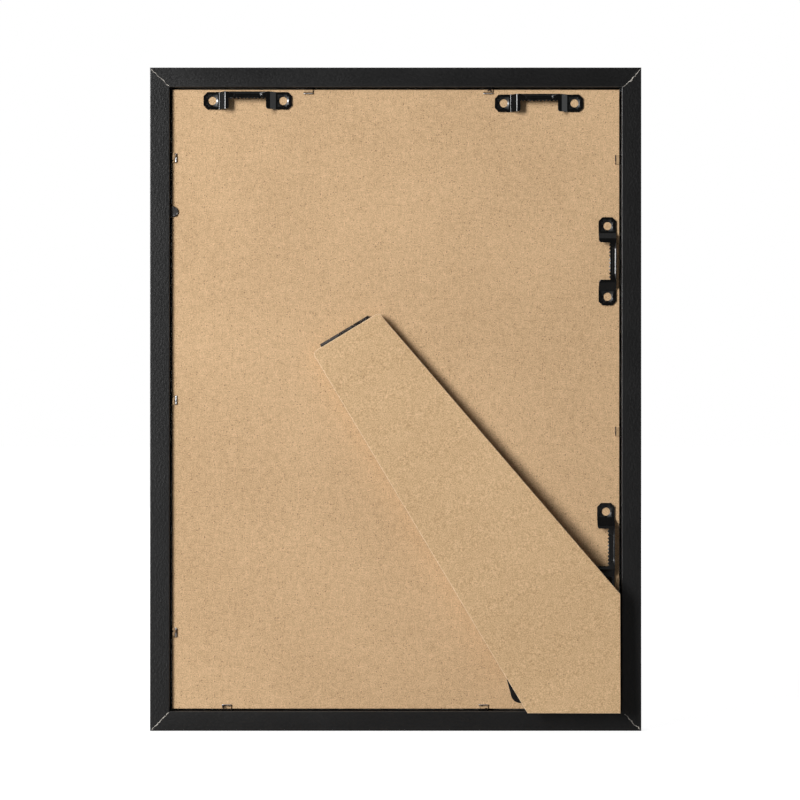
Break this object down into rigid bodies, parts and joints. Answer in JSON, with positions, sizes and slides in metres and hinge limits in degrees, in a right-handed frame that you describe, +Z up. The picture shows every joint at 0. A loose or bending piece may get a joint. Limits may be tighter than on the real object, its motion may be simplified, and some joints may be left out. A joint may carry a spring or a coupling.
{
  "type": "easel back photo frame",
  "caption": "Portrait photo frame with mitred black rails, glass, a fibreboard back held by bendable tabs, a hinged diagonal easel leg with a ribbon stay, and sawtooth hangers.",
  "frame": {"origin": "middle of the bottom rail's underside, at half the frame's depth", "axes": "+Z up along the portrait height, +Y out of the back, so the glass faces -Y"},
  "size_m": [0.237, 0.0223, 0.32],
  "materials": {
    "moulding": "satin black foil over wood fibre",
    "glass": "clear float glass",
    "insert": "blank matt sheet",
    "board": "bare fibreboard",
    "leg_board": "smooth bare fibreboard",
    "black_steel": "gloss black lacquer on pressed steel",
    "bright_steel": "bright zinc",
    "ribbon": "black satin ribbon"
  },
  "bodies": {
    "frame": {"bottom_rail": "moulding", "left_rail": "moulding", "top_rail": "moulding", "right_rail": "moulding", "corner_v_nails": "bright_steel", "glass_pane": "glass", "insert_sheet": "insert", "back_board": "board", "hanger_top_right": "black_steel", "hanger_top_left": "black_steel", "hanger_side_upper": "black_steel", "hanger_side_lower": "black_steel", "hinge_board_leaf": "black_steel", "hinge_pin": "black_steel", "stay_ribbon": "ribbon", "ribbon_staple_board": "bright_steel", "tab_shanks": "bright_steel"},
    "leg": {"easel_leg": "leg_board", "hinge_leg_leaf": "black_steel", "ribbon_staple_leg": "bright_steel"},
    "tab_right_upper": {"tab_right_upper": "bright_steel"},
    "tab_right_middle": {"tab_right_middle": "bright_steel"},
    "tab_right_lower": {"tab_right_lower": "bright_steel"},
    "tab_right_black": {"tab_right_black": "black_steel"},
    "tab_left_upper": {"tab_left_upper": "bright_steel"},
    "tab_left_middle": {"tab_left_middle": "bright_steel"},
    "tab_left_lower": {"tab_left_lower": "bright_steel"},
    "tab_top_right": {"tab_top_right": "bright_steel"},
    "tab_top_left": {"tab_top_left": "bright_steel"},
    "tab_bottom_right": {"tab_bottom_right": "bright_steel"},
    "tab_bottom_left": {"tab_bottom_left": "bright_steel"}
  },
  "joints": [
    {"name": "leg_hinge", "type": "hinge", "parent": "frame", "child": "leg", "pos_m": [0.02443, 0.0049, 0.19261], "axis": [0.8563, 0, -0.5165], "range_deg": [0, 22], "deforming": ["stay_ribbon"]},
    {"name": "tab_right_upper_bend", "type": "hinge", "parent": "frame", "child": "tab_right_upper", "pos_m": [0.1087, 0.00425, 0.27651], "axis": [0, 0, -1], "range_deg": [0, 85]},
    {"name": "tab_right_middle_bend", "type": "hinge", "parent": "frame", "child": "tab_right_middle", "pos_m": [0.1087, 0.00425, 0.15958], "axis": [0, 0, -1], "range_deg": [0, 85]},
    {"name": "tab_right_lower_bend", "type": "hinge", "parent": "frame", "child": "tab_right_lower", "pos_m": [0.1087, 0.00425, 0.0472], "axis": [0, 0, -1], "range_deg": [0, 85]},
    {"name": "tab_right_black_bend", "type": "hinge", "parent": "frame", "child": "tab_right_black", "pos_m": [0.1087, 0.00425, 0.25059], "axis": [0, 0, -1], "range_deg": [0, 85]},
    {"name": "tab_left_upper_bend", "type": "hinge", "parent": "frame", "child": "tab_left_upper", "pos_m": [-0.1087, 0.00425, 0.27562], "axis": [0, 0, 1], "range_deg": [0, 85]},
    {"name": "tab_left_middle_bend", "type": "hinge", "parent": "frame", "child": "tab_left_middle", "pos_m": [-0.1087, 0.00425, 0.14442], "axis": [0, 0, 1], "range_deg": [0, 85]},
    {"name": "tab_left_lower_bend", "type": "hinge", "parent": "frame", "child": "tab_left_lower", "pos_m": [-0.1087, 0.00425, 0.04819], "axis": [0, 0, 1], "range_deg": [0, 85]},
    {"name": "tab_top_right_bend", "type": "hinge", "parent": "frame", "child": "tab_top_right", "pos_m": [0.04219, 0.00425, 0.3102], "axis": [1, 0, 0], "range_deg": [0, 85]},
    {"name": "tab_top_left_bend", "type": "hinge", "parent": "frame", "child": "tab_top_left", "pos_m": [-0.0447, 0.00425, 0.3102], "axis": [1, 0, 0], "range_deg": [0, 85]},
    {"name": "tab_bottom_right_bend", "type": "hinge", "parent": "frame", "child": "tab_bottom_right", "pos_m": [0.08167, 0.00425, 0.0098], "axis": [-1, 0, 0], "range_deg": [0, 85]},
    {"name": "tab_bottom_left_bend", "type": "hinge", "parent": "frame", "child": "tab_bottom_left", "pos_m": [-0.04247, 0.00425, 0.0098], "axis": [-1, 0, 0], "range_deg": [0, 85]}
  ]
}
